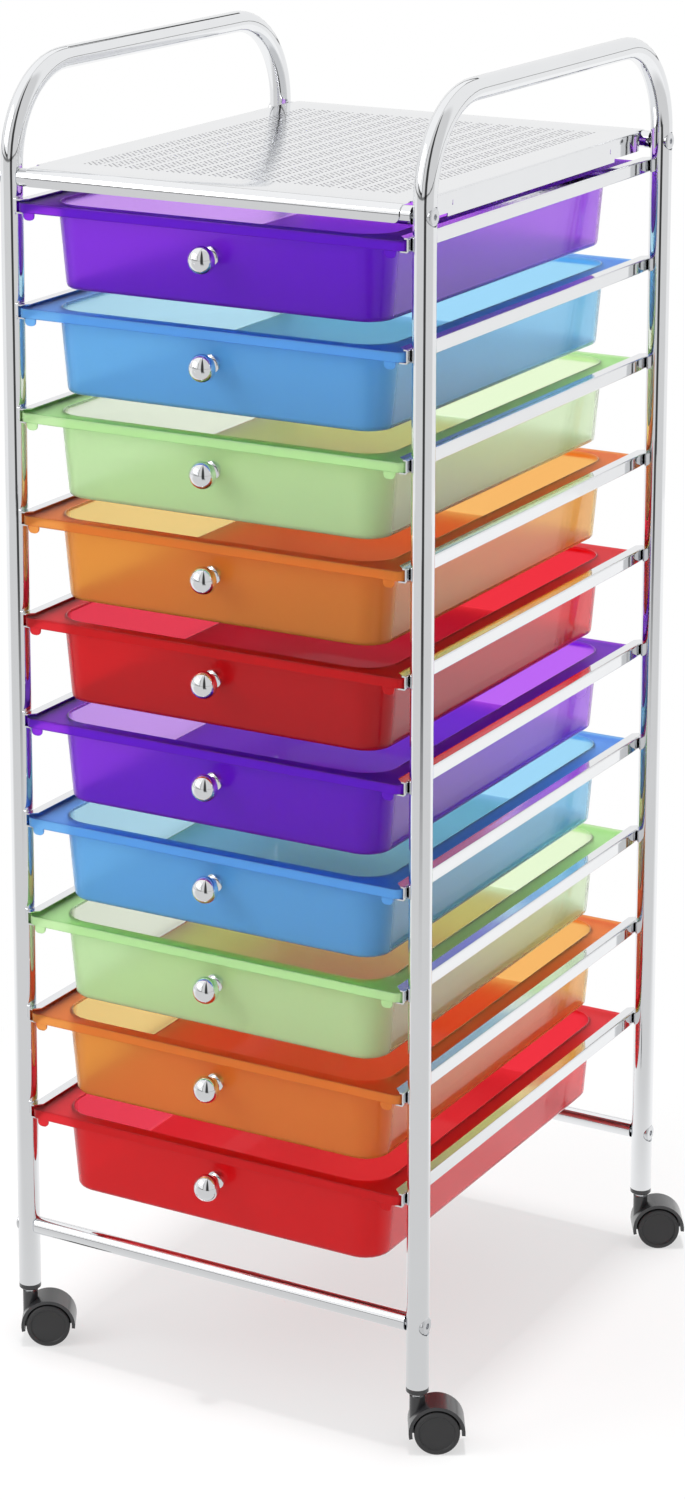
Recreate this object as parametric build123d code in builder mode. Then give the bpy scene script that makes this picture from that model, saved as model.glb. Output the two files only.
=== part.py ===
"""Rolling drawer cart: tube side frames, sliding trays on rails, a sheet shelf and twin-wheel casters."""

import os
from math import cos, radians, sin, sqrt, tan

from build123d import *

os.makedirs("parts", exist_ok=True)

# Driving dimensions in millimetres: side frames and cross bars
LEG_SPACING_X = 323.0
LEG_SPACING_Y = 370.0
TUBE_DIAMETER = 16.0
TUBE_WALL = 1.2
HANDLE_BEND_RADIUS = 68.0
LOWER_BAR_HEIGHT = 46.4
HANDLE_STRAIGHT = 7.0
BAR_DIAMETER = 12.7
BAR_WALL = 1.2
BAR_PLUG_LENGTH = 18.0
WELD_GAP = 0.02

# Bolts through the legs into the cross bars, their heads sunk in seats pressed into the tube
BOLT_DIAMETER = 6.0
BOLT_CLEARANCE = 0.1
BOLT_GRIP = 14.0
BOLT_HEAD_DIAMETER = 13.0
BOLT_HEAD_HEIGHT = 3.3
BOLT_SEAT_CLEARANCE = 0.2
BOLT_HEAD_ROUND = 1.6
BOLT_SOCKET_ACROSS = 4.0
BOLT_SOCKET_DEPTH = 2.0

# Channel rails welded to the legs
RAIL_COUNT = 10
RAIL_PITCH = 74.0
RAIL_HEIGHT = 10.0
RAIL_SHEET = 1.0
RAIL_TOP_FLANGE = 8.0
RAIL_BOTTOM_FLANGE = 6.0
RAIL_BEND = 1.2
RAIL_CORNER_CUT = 5.0

# Drawers
RIM_SIDE_CLEARANCE = 1.0
RIM_TOP_GAP = 0.5
RIM_FLOOR_GAP = 0.2
RIM_STOP_GAP = 0.3
RIM_REAR_SETBACK = 5.0
RIM_CORNER = 6.0
RIM_SIDE_WIDTH = 18.5
RIM_FRONT_WIDTH = 7.5
RIM_REAR_WIDTH = 10.0
TRAY_WALL = 2.2
TRAY_CORNER = 25.0
TRAY_DRAFT = 4.9
TRAY_INNER_ROUND = 1.3
TRAY_UNDER_GAP = 12.0
LOWEST_TRAY_GAP = 29.25
STOP_TAB_WIDTH = 8.5
STOP_TAB_DROP = 5.0

# Knobs and their screws
KNOB_DROP = 25.0
KNOB_DIAMETER = 20.0
KNOB_BASE_DIAMETER = 13.0
KNOB_BASE_HEIGHT = 1.5
KNOB_NECK_DIAMETER = 9.0
KNOB_NECK_HEIGHT = 8.0
KNOB_DOME_HEIGHT = 12.5
KNOB_BASE_SLOPE = 0.2
KNOB_DOME_SLOPE = 0.2
KNOB_HOLE_SPARE = 1.0
SCREW_DIAMETER = 4.0
SCREW_CLEARANCE = 0.05
SCREW_GRIP = 8.0
SCREW_HEAD_DIAMETER = 8.0
SCREW_HEAD_HEIGHT = 2.4
SCREW_HOLE_CLEARANCE = 0.25
SCREW_SLOT_WIDTH = 1.2
SCREW_SLOT_DEPTH = 1.0

# Shelf of perforated sheet, rolled over the two upper bars
SHELF_SHEET = 0.8
SHELF_BAR_GAP = 0.1
SHELF_SIDE_GAP = 4.0
SHELF_ROLL_SETBACK = 7.5
SHELF_LIP_DROP = 5.0
SHELF_LIP_CORNER = 4.0
SHELF_FLANGE_DROP = 16.8
SHELF_FLANGE_SETBACK = 13.0
SHELF_FLANGE_GAP = 4.45
SHELF_FLANGE_RELIEF = 2.5
SHELF_RELIEF_LENGTH = 42.0
SHELF_BEND = 1.0
SHELF_SLIT_SETBACK = 62.0
SHELF_SLIT_DROP = 8.2
SHELF_SLIT_HEIGHT = 3.4
SHELF_SLIT_WIDTH = 1.2

# Casters, all trailing the same way, as they were last pushed
WHEEL_DIAMETER = 32.0
WHEEL_WIDTH = 9.5
WHEEL_EDGE_ROUND = 1.5
WHEEL_FACE_DISH = 0.8
WHEEL_DISH_MARGIN = 3.0
WHEEL_SIDE_GAP = 0.5
HOOD_WHEEL_GAP = 1.3
HOOD_WALL = 2.5
HOOD_WEB = 4.0
HOOD_WIDTH = 22.8
HOOD_TAIL_ANGLE = -5.5
HOOD_FRONT_ANGLE = 193.0
HOOD_BOSS_DIAMETER = 10.0
HOOD_TOP_GAP = 6.7
NECK_DIAMETER = 11.0
CASTER_TRAIL = 13.5
TRAIL_ANGLE = 30.0
AXLE_DIAMETER = 4.0
AXLE_CLEARANCE = 0.05
AXLE_END_GAP = 0.4
WHEEL_CAP = 2.0
STEM_DIAMETER = 6.0
STEM_CLEARANCE = 0.05
STEM_SEAT_DEPTH = 11.0
COLLAR_DIAMETER = 9.0
COLLAR_HEIGHT = 2.2
COLLAR_GAP = 0.3
SOCKET_FLANGE = 4.0
SOCKET_DEPTH = 20.0
SOCKET_CLEARANCE = 0.05
SOCKET_EDGE = 0.8
PRESS_GAP = 0.02

# Heights above the floor, from the casters upwards
wheel_radius = WHEEL_DIAMETER / 2
hood_inner_radius = wheel_radius + HOOD_WHEEL_GAP
hood_radius = hood_inner_radius + HOOD_WALL
socket_bottom = wheel_radius + hood_radius + HOOD_TOP_GAP
leg_end = socket_bottom + SOCKET_FLANGE
neck_top = socket_bottom - COLLAR_GAP - COLLAR_HEIGHT
lower_bar_z = leg_end + LOWER_BAR_HEIGHT
rim_drop = RAIL_SHEET + RIM_TOP_GAP
tray_depth = RAIL_PITCH - rim_drop - TRAY_UNDER_GAP
lowest_rail_top = lower_bar_z + BAR_DIAMETER / 2 + LOWEST_TRAY_GAP + tray_depth + rim_drop
rail_tops = [lowest_rail_top + RAIL_PITCH * n for n in reversed(range(RAIL_COUNT))]
roll_inner = BAR_DIAMETER / 2 + SHELF_BAR_GAP
roll_outer = roll_inner + SHELF_SHEET
shelf_top_z = rail_tops[0] + SHELF_FLANGE_GAP + SHELF_FLANGE_DROP
upper_bar_z = shelf_top_z - roll_outer
handle_z = upper_bar_z + HANDLE_STRAIGHT + HANDLE_BEND_RADIUS

# Trail and axle directions, with the reach of a caster from its leg to the rear right and to the left
trail_x = cos(radians(TRAIL_ANGLE))
trail_y = sin(radians(TRAIL_ANGLE))
wheel_inner_face = HOOD_WEB / 2 + WHEEL_SIDE_GAP
wheel_outer_face = wheel_inner_face + WHEEL_WIDTH
hood_tail = CASTER_TRAIL + hood_radius
caster_reach_x = trail_x * hood_tail + trail_y * HOOD_WIDTH / 2
caster_reach_y = trail_y * hood_tail + trail_x * HOOD_WIDTH / 2
caster_front_x = trail_x * (hood_radius - CASTER_TRAIL) + trail_y * HOOD_WIDTH / 2

# Drawer sizes, with the cart's middle at zero
tube_radius = TUBE_DIAMETER / 2
seat_radius = BOLT_HEAD_DIAMETER / 2 + BOLT_SEAT_CLEARANCE
seat_x = sqrt(tube_radius**2 - seat_radius**2)
leg_half_x = LEG_SPACING_X / 2
leg_half_y = LEG_SPACING_Y / 2
inner_half_x = leg_half_x - tube_radius
rail_half_y = leg_half_y + tube_radius
rim_half_x = inner_half_x - WELD_GAP - RAIL_SHEET - RIM_SIDE_CLEARANCE
rim_front = -rail_half_y - RIM_STOP_GAP - TRAY_WALL
rim_rear = leg_half_y - RIM_REAR_SETBACK
rim_skirt = RAIL_HEIGHT - 2 * RAIL_SHEET - RIM_TOP_GAP - RIM_FLOOR_GAP
tray_half_x = rim_half_x - RIM_SIDE_WIDTH
tray_front = rim_front + RIM_FRONT_WIDTH
tray_rear = rim_rear - RIM_REAR_WIDTH

# Knob axis, square to the drafted front wall
knob_y = tray_front + KNOB_DROP * tan(radians(TRAY_DRAFT))
knob_out = (0, -cos(radians(TRAY_DRAFT)), -sin(radians(TRAY_DRAFT)))
knob_tip = KNOB_DOME_HEIGHT + KNOB_DIAMETER / 2
wall_normal_thickness = TRAY_WALL * cos(radians(TRAY_DRAFT))

# The cart's middle, placed so that the whole object stands centred on the origin
knob_reach_y = -knob_y + knob_tip * cos(radians(TRAY_DRAFT))
cart_x = (max(tube_radius, seat_x + BOLT_HEAD_HEIGHT, caster_front_x) - caster_reach_x) / 2
cart_y = (knob_reach_y - leg_half_y - caster_reach_y) / 2
leg_points = {
    "front_left": (cart_x - leg_half_x, cart_y - leg_half_y),
    "front_right": (cart_x + leg_half_x, cart_y - leg_half_y),
    "rear_left": (cart_x - leg_half_x, cart_y + leg_half_y),
    "rear_right": (cart_x + leg_half_x, cart_y + leg_half_y),
}
bolt_points = [(cart_y + end * leg_half_y, z) for end in (-1, 1) for z in (lower_bar_z, upper_bar_z)]


def save(part, name):
    """Label a finished piece and write it."""
    part.label = name
    export_step(part, f"parts/{name}.step")


def side_frame(side):
    """One tube bent into an inverted U: two legs and the handle between them."""
    leg_x = cart_x + side * leg_half_x
    front, rear = cart_y - leg_half_y, cart_y + leg_half_y
    corners = [(front, leg_end), (front, handle_z), (rear, handle_z), (rear, leg_end)]
    with BuildLine(Plane.YZ.offset(leg_x)) as path:
        FilletPolyline(*corners, radius=HANDLE_BEND_RADIUS)
    with BuildPart() as hollow:
        with BuildSketch(Plane((leg_x, front, leg_end))):
            Circle(tube_radius - TUBE_WALL)
        sweep(path=path.wires()[0])
        with BuildSketch(Plane.YZ.offset(leg_x + side * (seat_x - TUBE_WALL))):
            with Locations(*bolt_points):
                Circle(seat_radius + TUBE_WALL)
        extrude(amount=side * tube_radius, mode=Mode.SUBTRACT)
    with BuildPart() as tube:
        with BuildSketch(Plane((leg_x, front, leg_end))):
            Circle(tube_radius)
        sweep(path=path.wires()[0])
        add(hollow.part, mode=Mode.SUBTRACT)
        with BuildSketch(Plane.YZ.offset(leg_x + side * seat_x)):
            with Locations(*bolt_points):
                Circle(seat_radius)
        extrude(amount=side * tube_radius, mode=Mode.SUBTRACT)
        with BuildSketch(Plane.YZ.offset(leg_x - tube_radius)):
            with Locations(*bolt_points):
                Circle(BOLT_DIAMETER / 2 + BOLT_CLEARANCE)
        extrude(amount=TUBE_DIAMETER, mode=Mode.SUBTRACT)
    return tube.part


def rail_set(side):
    """The channel rails of one side, open towards the drawers, with their flange corners cut back."""
    web_x = cart_x + side * (inner_half_x - WELD_GAP)
    outer = Align.MAX if side > 0 else Align.MIN
    with BuildPart() as rails:
        with BuildSketch(Plane.XZ.offset(-cart_y - rail_half_y)):
            with Locations(*[(web_x, top) for top in rail_tops]):
                Rectangle(RAIL_SHEET, RAIL_HEIGHT, align=(outer, Align.MAX))
                Rectangle(RAIL_TOP_FLANGE, RAIL_SHEET, align=(outer, Align.MAX))
            with Locations(*[(web_x, top - RAIL_HEIGHT) for top in rail_tops]):
                Rectangle(RAIL_BOTTOM_FLANGE, RAIL_SHEET, align=(outer, Align.MIN))
        extrude(amount=2 * rail_half_y)
        outwards = Axis((0, 0, 0), (side, 0, 0))
        fillet(rails.edges().filter_by(Axis.Y).group_by(outwards)[-1], RAIL_BEND)
        chamfer(rails.edges().filter_by(Axis.Z).group_by(outwards)[0], RAIL_CORNER_CUT)
    return rails.part


def cross_bars(bar_z):
    """A front and a rear tube between the legs, each with a threaded plug in both ends."""
    half_length = inner_half_x - WELD_GAP
    ends = [(cart_y - leg_half_y, bar_z), (cart_y + leg_half_y, bar_z)]
    with BuildPart() as bars:
        with BuildSketch(Plane.YZ.offset(cart_x)):
            with Locations(*ends):
                Circle(BAR_DIAMETER / 2)
        extrude(amount=half_length, both=True)
        with BuildSketch(Plane.YZ.offset(cart_x)):
            with Locations(*ends):
                Circle(BAR_DIAMETER / 2 - BAR_WALL)
        extrude(amount=half_length - BAR_PLUG_LENGTH, both=True, mode=Mode.SUBTRACT)
        with BuildSketch(Plane.YZ.offset(cart_x)):
            with Locations(*ends):
                Circle(BOLT_DIAMETER / 2 + PRESS_GAP)
        extrude(amount=half_length, both=True, mode=Mode.SUBTRACT)
    return bars.part


def frame_bolts():
    """Round-headed socket bolts: two through every leg, into the ends of the bars."""
    head_x = leg_half_x + seat_x
    with BuildPart() as bolts:
        for side in (-1, 1):
            seat = Plane((cart_x + side * head_x, 0, 0), x_dir=(0, 1, 0), z_dir=(side, 0, 0))
            spots = [(y, side * z) for y, z in bolt_points]
            with BuildSketch(seat):
                with Locations(*spots):
                    Circle(BOLT_HEAD_DIAMETER / 2)
            extrude(amount=BOLT_HEAD_HEIGHT)
            rims = bolts.edges().filter_by(GeomType.CIRCLE).group_by(Axis((0, 0, 0), (side, 0, 0)))[-1]
            fillet(rims, BOLT_HEAD_ROUND)
            with BuildSketch(seat):
                with Locations(*spots):
                    Circle(BOLT_DIAMETER / 2)
            extrude(amount=-seat_x - tube_radius - BOLT_GRIP)
            with BuildSketch(seat.offset(BOLT_HEAD_HEIGHT)):
                with Locations(*spots):
                    RegularPolygon(BOLT_SOCKET_ACROSS / 2, 6, major_radius=False)
            extrude(amount=-BOLT_SOCKET_DEPTH, mode=Mode.SUBTRACT)
    return bolts.part


def top_shelf():
    """A sheet tray: rolled edges lie over the upper bars, and flanges hang at both sides."""
    half_x = inner_half_x - SHELF_SIDE_GAP
    roll_half_x = inner_half_x - SHELF_ROLL_SETBACK
    flange_half_y = leg_half_y - SHELF_FLANGE_SETBACK
    with BuildPart() as shelf:
        with BuildSketch(Plane.XY.offset(shelf_top_z)):
            with Locations((cart_x, cart_y)):
                Rectangle(2 * half_x, 2 * flange_half_y)
                Rectangle(2 * roll_half_x, LEG_SPACING_Y)
        extrude(amount=-SHELF_SHEET)
        for side in (-1, 1):
            origin = (cart_x + side * half_x, cart_y, shelf_top_z)
            face = Plane(origin, x_dir=(0, 1, 0), z_dir=(side, 0, 0))
            with BuildSketch(face):
                with Locations((0, -side * SHELF_FLANGE_DROP / 2)):
                    Rectangle(2 * flange_half_y, SHELF_FLANGE_DROP)
                for end in (-1, 1):
                    relief_y = end * (flange_half_y - SHELF_RELIEF_LENGTH / 2)
                    with Locations((relief_y, -side * SHELF_FLANGE_DROP)):
                        Rectangle(SHELF_RELIEF_LENGTH, 2 * SHELF_FLANGE_RELIEF, mode=Mode.SUBTRACT)
                    with Locations((end * (leg_half_y - SHELF_SLIT_SETBACK), -side * SHELF_SLIT_DROP)):
                        Rectangle(SHELF_SLIT_WIDTH, SHELF_SLIT_HEIGHT, mode=Mode.SUBTRACT)
            extrude(amount=-SHELF_SHEET)
        folds = shelf.edges().filter_by(Axis.Y).group_by(Axis.Z)[-1]
        outer_folds = folds.filter_by(lambda e: abs(abs(e.center().X - cart_x) - half_x) < SHELF_SHEET / 2)
        fillet(outer_folds, SHELF_BEND)
        for end in (-1, 1):
            bar_y = cart_y + end * leg_half_y
            inwards = Align.MAX if end > 0 else Align.MIN
            with BuildSketch(Plane.YZ.offset(cart_x)):
                with Locations((bar_y, upper_bar_z)):
                    Circle(roll_outer)
                    Circle(roll_inner, mode=Mode.SUBTRACT)
                    Rectangle(roll_outer, 2 * roll_outer, align=(inwards, Align.CENTER), mode=Mode.SUBTRACT)
                    Rectangle(2 * roll_outer, roll_outer, align=(Align.CENTER, Align.MAX), mode=Mode.SUBTRACT)
                with Locations((bar_y + end * roll_outer, upper_bar_z)):
                    Rectangle(SHELF_SHEET, SHELF_LIP_DROP, align=(inwards, Align.MAX))
            extrude(amount=roll_half_x, both=True)
        beyond_bars = shelf.edges().filter_by(lambda e: abs(e.center().Y - cart_y) > leg_half_y)
        fillet(beyond_bars.filter_by(Axis.Y).group_by(Axis.Z)[0], SHELF_LIP_CORNER)
    return shelf.part


def knob_plane(rim_top):
    """The front wall's outer face at the knob, with its normal pointing out of the drawer."""
    return Plane((cart_x, cart_y + knob_y, rim_top - KNOB_DROP), x_dir=(1, 0, 0), z_dir=knob_out)


def drawer(rim_top):
    """A drafted tray with a skirted rim that runs in the rails, and two stop tabs at the front."""
    rim_middle = (cart_x, cart_y + (rim_front + rim_rear) / 2)
    tray_middle = (cart_x, cart_y + (tray_front + tray_rear) / 2)
    rim_size = (2 * rim_half_x, rim_rear - rim_front)
    rim_hollow = (rim_size[0] - 2 * TRAY_WALL, rim_size[1] - 2 * TRAY_WALL)
    tray_size = (2 * tray_half_x, tray_rear - tray_front)
    tray_hollow = (tray_size[0] - 2 * TRAY_WALL, tray_size[1] - 2 * TRAY_WALL)
    with BuildPart() as tray:
        with BuildSketch(Plane.XY.offset(rim_top)):
            with Locations(rim_middle):
                RectangleRounded(*rim_size, RIM_CORNER)
        extrude(amount=-rim_skirt)
        with BuildSketch(Plane.XY.offset(rim_top - TRAY_WALL)):
            with Locations(rim_middle):
                RectangleRounded(*rim_hollow, RIM_CORNER - TRAY_WALL)
        extrude(amount=-rim_skirt, mode=Mode.SUBTRACT)
        with BuildSketch(Plane.XY.offset(rim_top)):
            with Locations(tray_middle):
                RectangleRounded(*tray_size, TRAY_CORNER)
        extrude(amount=-tray_depth, taper=TRAY_DRAFT)
        fillet(tray.faces().sort_by(Axis.Z)[0].edges(), TRAY_INNER_ROUND + TRAY_WALL)
        with BuildSketch(Plane.XY.offset(rim_top)):
            with Locations(tray_middle):
                RectangleRounded(*tray_hollow, TRAY_CORNER - TRAY_WALL)
        extrude(amount=TRAY_WALL - tray_depth, taper=TRAY_DRAFT, mode=Mode.SUBTRACT)
        fillet(tray.faces().filter_by(Axis.Z).sort_by(Axis.Z)[1].edges(), TRAY_INNER_ROUND)
        tab_x = rim_half_x - RIM_CORNER - STOP_TAB_WIDTH / 2
        skirt_z = rim_top - rim_skirt
        with BuildSketch(Plane.XZ.offset(-cart_y - rim_front)):
            with Locations((cart_x - tab_x, skirt_z), (cart_x + tab_x, skirt_z)):
                Rectangle(STOP_TAB_WIDTH, STOP_TAB_DROP, align=(Align.CENTER, Align.MAX))
        extrude(amount=-TRAY_WALL)
        with BuildSketch(knob_plane(rim_top)):
            Circle(SCREW_DIAMETER / 2 + SCREW_HOLE_CLEARANCE)
        extrude(amount=TRAY_WALL, both=True, mode=Mode.SUBTRACT)
    return tray.part


def knob(rim_top):
    """A turned mushroom knob with a blind threaded hole for its screw."""
    seat = knob_plane(rim_top)
    section = Plane(seat.origin, x_dir=(1, 0, 0), z_dir=seat.x_dir.cross(seat.z_dir))
    hole_radius = SCREW_DIAMETER / 2 + SCREW_CLEARANCE
    hole_depth = SCREW_GRIP + KNOB_HOLE_SPARE
    dome_radius = KNOB_DIAMETER / 2
    base_radius = KNOB_BASE_DIAMETER / 2
    base_edge = (base_radius, KNOB_BASE_HEIGHT)
    neck = (KNOB_NECK_DIAMETER / 2, KNOB_NECK_HEIGHT)
    dome_edge = (dome_radius, KNOB_DOME_HEIGHT)
    with BuildPart() as turned:
        with BuildSketch(section):
            with BuildLine():
                Polyline((0, hole_depth), (hole_radius, hole_depth), (hole_radius, 0), (base_radius, 0))
                Line((base_radius, 0), base_edge)
                Spline(base_edge, neck, dome_edge, tangents=[(-1, KNOB_BASE_SLOPE), (KNOB_DOME_SLOPE, 1)])
                CenterArc((0, KNOB_DOME_HEIGHT), dome_radius, 0, 90)
                Line((0, knob_tip), (0, hole_depth))
            make_face()
        revolve(axis=Axis(seat.origin, seat.z_dir))
    return turned.part


def knob_screw(rim_top):
    """A slotted pan-head screw from inside the drawer into its knob."""
    seat = knob_plane(rim_top).offset(-wall_normal_thickness)
    with BuildPart() as screw:
        with BuildSketch(seat):
            Circle(SCREW_HEAD_DIAMETER / 2)
        extrude(amount=-SCREW_HEAD_HEIGHT)
        with BuildSketch(seat):
            Circle(SCREW_DIAMETER / 2)
        extrude(amount=wall_normal_thickness + SCREW_GRIP)
        with BuildSketch(seat.offset(-SCREW_HEAD_HEIGHT)):
            Rectangle(SCREW_HEAD_DIAMETER, SCREW_SLOT_WIDTH)
        extrude(amount=SCREW_SLOT_DEPTH, mode=Mode.SUBTRACT)
    return screw.part


def caster_sockets():
    """Plugs in the leg ends that hold the caster stems."""
    with BuildPart() as sockets:
        with BuildSketch(Plane.XY.offset(socket_bottom)):
            with Locations(*leg_points.values()):
                Circle(tube_radius)
        extrude(amount=SOCKET_FLANGE)
        chamfer(sockets.edges().group_by(Axis.Z)[0], SOCKET_EDGE)
        with BuildSketch(Plane.XY.offset(leg_end)):
            with Locations(*leg_points.values()):
                Circle(tube_radius - TUBE_WALL - SOCKET_CLEARANCE)
        extrude(amount=SOCKET_DEPTH)
        with BuildSketch(Plane.XY.offset(socket_bottom)):
            with Locations(*leg_points.values()):
                Circle(STEM_DIAMETER / 2 + STEM_CLEARANCE)
        extrude(amount=SOCKET_FLANGE + SOCKET_DEPTH, mode=Mode.SUBTRACT)
    return sockets.part


def axle_plane(leg):
    """The plane through a caster's middle: trail direction along x, up along y, axle along z."""
    origin = (leg[0] + CASTER_TRAIL * trail_x, leg[1] + CASTER_TRAIL * trail_y, wheel_radius)
    return Plane(origin, x_dir=(trail_x, trail_y, 0), z_dir=(trail_y, -trail_x, 0))


def caster_hood(leg):
    """The swivelling body: a hood over both wheels, a web that holds the axle, a neck for the stem."""
    middle = axle_plane(leg)
    arc_size = HOOD_FRONT_ANGLE - HOOD_TAIL_ANGLE
    with BuildPart() as hood:
        with BuildSketch(middle):
            with BuildLine():
                cover = CenterArc((0, 0), hood_radius, HOOD_TAIL_ANGLE, arc_size)
                Line(cover @ 1, cover @ 0)
            make_face()
            Circle(HOOD_BOSS_DIAMETER / 2)
        extrude(amount=HOOD_WEB / 2, both=True)
        with BuildSketch(middle):
            with BuildLine():
                outside = CenterArc((0, 0), hood_radius, HOOD_TAIL_ANGLE, arc_size)
                inside = CenterArc((0, 0), hood_inner_radius, HOOD_TAIL_ANGLE, arc_size)
                Line(outside @ 0, inside @ 0)
                Line(outside @ 1, inside @ 1)
            make_face()
        extrude(amount=HOOD_WIDTH / 2, both=True)
        with BuildSketch(Plane((leg[0], leg[1], wheel_radius))):
            Circle(NECK_DIAMETER / 2)
        extrude(amount=neck_top - wheel_radius)
        for face in (1, -1):
            with BuildSketch(middle.offset(face * HOOD_WEB / 2)):
                Circle(hood_inner_radius)
            extrude(amount=face * HOOD_WIDTH / 2, mode=Mode.SUBTRACT)
        with BuildSketch(middle):
            Circle(AXLE_DIAMETER / 2 + PRESS_GAP)
        extrude(amount=HOOD_WEB, both=True, mode=Mode.SUBTRACT)
        with BuildSketch(Plane((leg[0], leg[1], neck_top))):
            Circle(STEM_DIAMETER / 2 + PRESS_GAP)
        extrude(amount=-STEM_SEAT_DEPTH, mode=Mode.SUBTRACT)
    return hood.part


def caster_stem(leg):
    """The swivel pin, with the collar that carries the leg."""
    with BuildPart() as stem:
        with BuildSketch(Plane((leg[0], leg[1], neck_top - STEM_SEAT_DEPTH))):
            Circle(STEM_DIAMETER / 2)
        extrude(amount=leg_end + SOCKET_DEPTH - neck_top + STEM_SEAT_DEPTH)
        with BuildSketch(Plane((leg[0], leg[1], neck_top))):
            Circle(COLLAR_DIAMETER / 2)
        extrude(amount=COLLAR_HEIGHT)
    return stem.part


def caster_axle(leg):
    """The axle held in the hood's web, reaching into both wheels."""
    half_length = wheel_outer_face - WHEEL_CAP - AXLE_END_GAP
    with BuildPart() as axle:
        with BuildSketch(axle_plane(leg)):
            Circle(AXLE_DIAMETER / 2)
        extrude(amount=half_length, both=True)
    return axle.part


def caster_wheel(leg, face):
    """A capped wheel with a blind bore; face is +1 for the wheel nearer the front."""
    middle = axle_plane(leg)
    section = Plane(middle.origin, x_dir=middle.y_dir, z_dir=middle.y_dir.cross(middle.z_dir))
    inner, outer = face * wheel_inner_face, face * wheel_outer_face
    bore = AXLE_DIAMETER / 2 + AXLE_CLEARANCE
    bore_end = face * (wheel_outer_face - WHEEL_CAP)
    dish = wheel_radius - WHEEL_DISH_MARGIN
    with BuildPart() as wheel:
        with BuildSketch(section):
            with BuildLine():
                FilletPolyline((bore, inner), (wheel_radius, inner), (wheel_radius, outer), (dish, outer),
                               radius=WHEEL_EDGE_ROUND)
                Polyline((dish, outer), (dish - WHEEL_FACE_DISH, outer - face * WHEEL_FACE_DISH),
                         (0, outer - face * WHEEL_FACE_DISH), (0, bore_end), (bore, bore_end), (bore, inner))
            make_face()
        revolve(axis=Axis(middle.origin, middle.z_dir))
    return wheel.part


for side_name, side in (("left", -1), ("right", 1)):
    save(side_frame(side), f"{side_name}_side_frame")
    save(rail_set(side), f"{side_name}_rails")
save(cross_bars(lower_bar_z), "lower_cross_bars")
save(cross_bars(upper_bar_z), "upper_cross_bars")
save(frame_bolts(), "frame_bolts")
save(top_shelf(), "top_shelf")
save(caster_sockets(), "caster_sockets")

for number, rail_top in enumerate(rail_tops, start=1):
    rim_top = rail_top - rim_drop
    save(drawer(rim_top), f"drawer_{number:02d}")
    save(knob(rim_top), f"knob_{number:02d}")
    save(knob_screw(rim_top), f"knob_screw_{number:02d}")

for corner, leg in leg_points.items():
    save(caster_hood(leg), f"{corner}_caster_hood")
    save(caster_stem(leg), f"{corner}_caster_stem")
    save(caster_axle(leg), f"{corner}_caster_axle")
    save(caster_wheel(leg, 1), f"{corner}_front_wheel")
    save(caster_wheel(leg, -1), f"{corner}_rear_wheel")
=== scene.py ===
from math import cos, pi, radians, sin, tan

import bmesh
import bpy
from bmesh.types import BMEdge, BMFace, BMVert
from mathutils import Matrix, Vector


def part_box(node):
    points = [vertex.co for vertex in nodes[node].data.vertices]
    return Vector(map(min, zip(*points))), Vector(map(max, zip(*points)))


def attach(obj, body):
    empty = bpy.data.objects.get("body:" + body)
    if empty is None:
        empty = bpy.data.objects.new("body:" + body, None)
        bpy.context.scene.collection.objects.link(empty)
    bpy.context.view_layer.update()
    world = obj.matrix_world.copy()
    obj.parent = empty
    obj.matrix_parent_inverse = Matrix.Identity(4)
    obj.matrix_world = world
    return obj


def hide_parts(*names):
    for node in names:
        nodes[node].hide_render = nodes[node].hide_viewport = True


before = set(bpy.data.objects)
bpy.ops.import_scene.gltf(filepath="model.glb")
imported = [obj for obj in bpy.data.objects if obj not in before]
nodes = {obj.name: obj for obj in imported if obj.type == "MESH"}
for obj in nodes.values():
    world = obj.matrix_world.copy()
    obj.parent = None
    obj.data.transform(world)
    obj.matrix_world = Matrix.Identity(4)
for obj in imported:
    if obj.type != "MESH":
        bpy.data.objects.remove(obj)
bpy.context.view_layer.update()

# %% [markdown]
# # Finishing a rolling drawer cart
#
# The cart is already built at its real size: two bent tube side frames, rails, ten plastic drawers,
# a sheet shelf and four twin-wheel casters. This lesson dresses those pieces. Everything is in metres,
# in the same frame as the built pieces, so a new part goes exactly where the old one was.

# %% [markdown]
# ## A small kit for finishes
#
# A finish is a tree of shader nodes. Wiring a tree by hand takes many lines, so one small class wraps a
# socket: arithmetic on it adds Math nodes, and its `node` method adds any other kind. The same formulas
# could be typed node by node, but as plain expressions they can be read.


# %% A socket that can be calculated with
class Wire:
    """An output socket of a node tree."""

    def __init__(self, tree, socket=None):
        self.tree = tree
        self.socket = socket

    def node(self, kind, settings=None, inputs=None, output=0):
        """Add a node: its settings first, then the values or links of its sockets."""
        made = self.tree.nodes.new(kind)
        for name, value in (settings or {}).items():
            setattr(made, name, value)
        for key, value in (inputs or {}).items():
            if isinstance(value, Wire):
                self.tree.links.new(value.socket, made.inputs[key])
            else:
                made.inputs[key].default_value = value
        return Wire(self.tree, made.outputs[output] if made.outputs else None)

    def maths(self, operation, first, second=0.0):
        """Add a Math node for two values or wires."""
        return self.node("ShaderNodeMath", {"operation": operation}, {0: first, 1: second})

    def __add__(self, other):
        return self.maths("ADD", self, other)

    def __radd__(self, other):
        return self.maths("ADD", other, self)

    def __sub__(self, other):
        return self.maths("SUBTRACT", self, other)

    def __rsub__(self, other):
        return self.maths("SUBTRACT", other, self)

    def __mul__(self, other):
        return self.maths("MULTIPLY", self, other)

    def __rmul__(self, other):
        return self.maths("MULTIPLY", other, self)


print("sockets can be added, subtracted and multiplied")


# %% Nodes that several finishes need
def new_finish(name):
    """An empty material and the wire that its nodes are added with."""
    material = bpy.data.materials.new(name)
    material.use_nodes = True
    material.node_tree.nodes.clear()
    return material, Wire(material.node_tree)


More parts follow.
